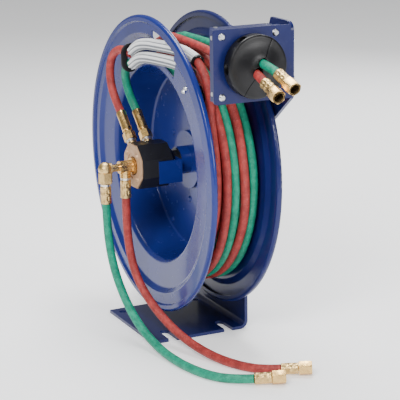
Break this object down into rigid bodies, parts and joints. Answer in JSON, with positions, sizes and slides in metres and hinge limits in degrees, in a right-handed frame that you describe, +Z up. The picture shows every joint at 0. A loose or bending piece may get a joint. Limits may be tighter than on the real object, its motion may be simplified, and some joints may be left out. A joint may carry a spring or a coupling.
{
  "type": "welding hose reel",
  "caption": "Spring-rewind reel that stores paired oxygen and fuel-gas hoses on a pedestal, with a swivel inlet, roller guide and rubber hose stop.",
  "frame": {"origin": "middle of the base plate's underside, which rests on the floor", "axes": "+X along the spool's axis from the open swivel side to the upright; -Y is the front, where the hoses leave; +Z up"},
  "size_m": [0.219, 0.5631, 0.4855],
  "materials": {
    "painted_blue": "gloss powder coat",
    "zinc_steel": "bright zinc plate",
    "spring_steel": "oiled",
    "brass": "machined",
    "bronze": "sintered",
    "black_metal": "black anodised, machined",
    "black_rubber": "moulded",
    "black_plastic": "turned nylon",
    "red_hose": "ribbed",
    "green_hose": "ribbed",
    "sleeve_weave": "woven"
  },
  "bodies": {
    "frame": {"pedestal": "painted_blue", "axle": "zinc_steel", "axle_nut": "zinc_steel", "guide_arm": "painted_blue", "arm_bolts": "zinc_steel", "guide_plate": "painted_blue", "guide_screws": "zinc_steel", "roller_frame": "painted_blue", "roller_pins": "zinc_steel", "stop_right": "black_rubber", "stop_left": "black_rubber", "stop_bolts": "zinc_steel", "spring_arbor": "zinc_steel", "pawl_pin": "zinc_steel", "pawl_spring": "spring_steel", "swivel_stem": "brass", "inlet_elbow": "brass", "inlet_fittings": "brass", "inlet_hose_red": "red_hose", "inlet_hose_green": "green_hose", "inlet_red_ferrule": "brass", "inlet_green_ferrule": "brass", "outlet_hose_red": "red_hose", "outlet_hose_green": "green_hose", "outlet_red_ferrule": "brass", "outlet_green_ferrule": "brass"},
    "spool": {"near_disc": "painted_blue", "far_disc": "painted_blue", "web_fasteners": "zinc_steel", "hub": "zinc_steel", "bushes": "bronze", "spring_case": "painted_blue", "spring_cover": "painted_blue", "power_spring": "spring_steel", "ratchet_wheel": "zinc_steel", "swivel_block": "black_metal", "swivel_flange": "brass", "flange_screws": "zinc_steel", "swivel_neck": "black_metal", "swivel_bracket": "painted_blue", "grommet": "black_rubber", "sleeves": "sleeve_weave", "sleeve_caps": "black_rubber", "feed_band": "zinc_steel", "feed_cuff": "black_rubber", "clip_screws": "zinc_steel", "jumper_fittings": "brass", "jumper_hose_red": "red_hose", "jumper_hose_green": "green_hose", "coil_green": "green_hose", "coil_red": "red_hose"},
    "roller_upper": {"roller_upper": "black_plastic"},
    "roller_lower": {"roller_lower": "black_plastic"},
    "roller_left": {"roller_left": "black_plastic"},
    "roller_right": {"roller_right": "black_plastic"},
    "pawl": {"pawl": "zinc_steel"},
    "inlet_green_nut": {"inlet_green_nut": "brass"},
    "inlet_red_nut": {"inlet_red_nut": "brass"},
    "outlet_green_nut": {"outlet_green_nut": "brass"},
    "outlet_red_nut": {"outlet_red_nut": "brass"}
  },
  "joints": [
    {"name": "spool_turn", "type": "hinge", "parent": "frame", "child": "spool", "pos_m": [0, 0, 0.253], "axis": [1, 0, 0], "range_deg": [0, 1800], "stiffness_Nm_per_rad": 0.11, "springref_deg": -1260.51},
    {"name": "roller_upper_turn", "type": "hinge", "parent": "frame", "child": "roller_upper", "pos_m": [0.009, -0.219, 0.47], "axis": [1, 0, 0], "continuous": true},
    {"name": "roller_lower_turn", "type": "hinge", "parent": "frame", "child": "roller_lower", "pos_m": [0.009, -0.219, 0.394], "axis": [1, 0, 0], "continuous": true},
    {"name": "roller_left_turn", "type": "hinge", "parent": "frame", "child": "roller_left", "pos_m": [-0.029, -0.202, 0.432], "axis": [0, 0, 1], "continuous": true},
    {"name": "roller_right_turn", "type": "hinge", "parent": "frame", "child": "roller_right", "pos_m": [0.047, -0.202, 0.432], "axis": [0, 0, 1], "continuous": true},
    {"name": "pawl_swing", "type": "hinge", "parent": "frame", "child": "pawl", "pos_m": [0.0555, 0.03, 0.193], "axis": [1, 0, 0], "range_deg": [0, 40], "stiffness_Nm_per_rad": 0.05, "springref_deg": -22.92},
    {"name": "inlet_green_nut_spin", "type": "hinge", "parent": "frame", "child": "inlet_green_nut", "pos_m": [0.00042, -0.30507, 0.01038], "axis": [0.919, -0.3922, 0.0403], "continuous": true},
    {"name": "inlet_red_nut_spin", "type": "hinge", "parent": "frame", "child": "inlet_red_nut", "pos_m": [0.05002, -0.29096, 0.01041], "axis": [0.8819, -0.4696, 0.0412], "continuous": true},
    {"name": "outlet_green_nut_spin", "type": "hinge", "parent": "frame", "child": "outlet_green_nut", "pos_m": [0.01628, -0.31992, 0.42024], "axis": [0.0524, -0.9395, -0.3386], "continuous": true},
    {"name": "outlet_red_nut_spin", "type": "hinge", "parent": "frame", "child": "outlet_red_nut", "pos_m": [-0.00054, -0.31033, 0.40894], "axis": [-0.0428, -0.9563, -0.2894], "continuous": true}
  ]
}
